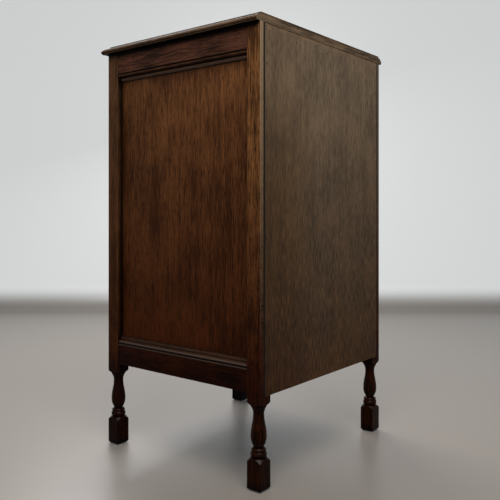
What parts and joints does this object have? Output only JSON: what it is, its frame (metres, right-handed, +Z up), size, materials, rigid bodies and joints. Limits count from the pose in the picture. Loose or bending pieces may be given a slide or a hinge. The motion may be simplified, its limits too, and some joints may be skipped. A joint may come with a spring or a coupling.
{
  "type": "record cabinet",
  "caption": "Tall oak cabinet on turned legs with panelled sides, a plywood back and a hinged door, which stores records upright between dividers.",
  "frame": {"origin": "on the floor under the middle of the top board", "axes": "+Z up, the door faces -Y, +X to the right as seen from the front"},
  "size_m": [0.519, 0.4796, 0.95],
  "materials": {
    "oak_post": "dark stained oak, satin",
    "oak_rail": "dark stained oak, satin",
    "oak_panel": "dark stained quartered oak, satin",
    "oak_moulding": "dark stained oak, satin",
    "oak_top": "dark stained oak, worn at the edge",
    "plywood_back": "unpolished aged plywood, matt",
    "plywood_divider": "plain plywood, matt",
    "inner_wood": "plain unpolished wood, matt",
    "brass": "aged brass",
    "steel": "dull steel"
  },
  "bodies": {
    "carcass": {"left_top_rail": "oak_rail", "left_bottom_rail": "oak_rail", "right_top_rail": "oak_rail", "right_bottom_rail": "oak_rail", "front_top_rail": "oak_rail", "front_bottom_rail": "oak_rail", "front_left_post": "oak_post", "front_right_post": "oak_post", "back_left_post": "oak_post", "back_right_post": "oak_post", "left_panel": "oak_panel", "right_panel": "oak_panel", "left_top_moulding": "oak_moulding", "left_bottom_moulding": "oak_moulding", "right_top_moulding": "oak_moulding", "right_bottom_moulding": "oak_moulding", "top_board": "oak_top", "back_board": "plywood_back", "lower_divider_1": "plywood_divider", "lower_divider_2": "plywood_divider", "lower_divider_3": "plywood_divider", "lower_divider_4": "plywood_divider", "upper_divider_1": "plywood_divider", "upper_divider_2": "plywood_divider", "upper_divider_3": "plywood_divider", "upper_divider_4": "plywood_divider", "back_top_rail": "inner_wood", "back_bottom_rail": "inner_wood", "top_glue_blocks": "inner_wood", "base_board": "inner_wood", "left_base_bearer": "inner_wood", "right_base_bearer": "inner_wood", "shelf": "inner_wood", "left_shelf_bearer": "inner_wood", "right_shelf_bearer": "inner_wood", "door_stop": "inner_wood", "lower_hinge_post_leaf": "brass", "upper_hinge_post_leaf": "brass", "post_screws": "brass", "strike_plate": "brass", "hinge_pins": "steel", "back_board_pins": "steel"},
    "door": {"door_hinge_stile": "oak_post", "door_lock_stile": "oak_post", "door_top_rail": "oak_rail", "door_bottom_rail": "oak_rail", "door_panel": "oak_panel", "door_top_moulding": "oak_moulding", "door_bottom_moulding": "oak_moulding", "lower_hinge_door_leaf": "brass", "upper_hinge_door_leaf": "brass", "door_screws": "brass", "handle_plate": "brass", "handle_stud": "brass", "escutcheon": "brass", "lock_case": "brass"},
    "drop": {"handle_drop": "brass", "handle_pin": "brass"},
    "key": {"key": "steel"},
    "bolt": {"lock_bolt": "brass"}
  },
  "joints": [
    {"name": "door_hinge", "type": "hinge", "parent": "carcass", "child": "door", "pos_m": [-0.21225, -0.22625, 0.567], "axis": [0, 0, -1], "range_deg": [0, 170]},
    {"name": "handle_swing", "type": "hinge", "parent": "door", "child": "drop", "pos_m": [0.1865, -0.23325, 0.59], "axis": [-1, 0, 0], "range_deg": [-5, 95]},
    {"name": "key_turn", "type": "hinge", "parent": "door", "child": "key", "pos_m": [0.1865, -0.21, 0.515], "axis": [0, -1, 0], "range_deg": [0, 90]},
    {"name": "bolt_slide", "type": "slide", "parent": "door", "child": "bolt", "axis": [1, 0, 0], "range_m": [0, 0.0075]}
  ],
  "couplings": [
    {"joint": "key_turn", "follows": "bolt_slide", "rad_per_m": 209.43}
  ]
}
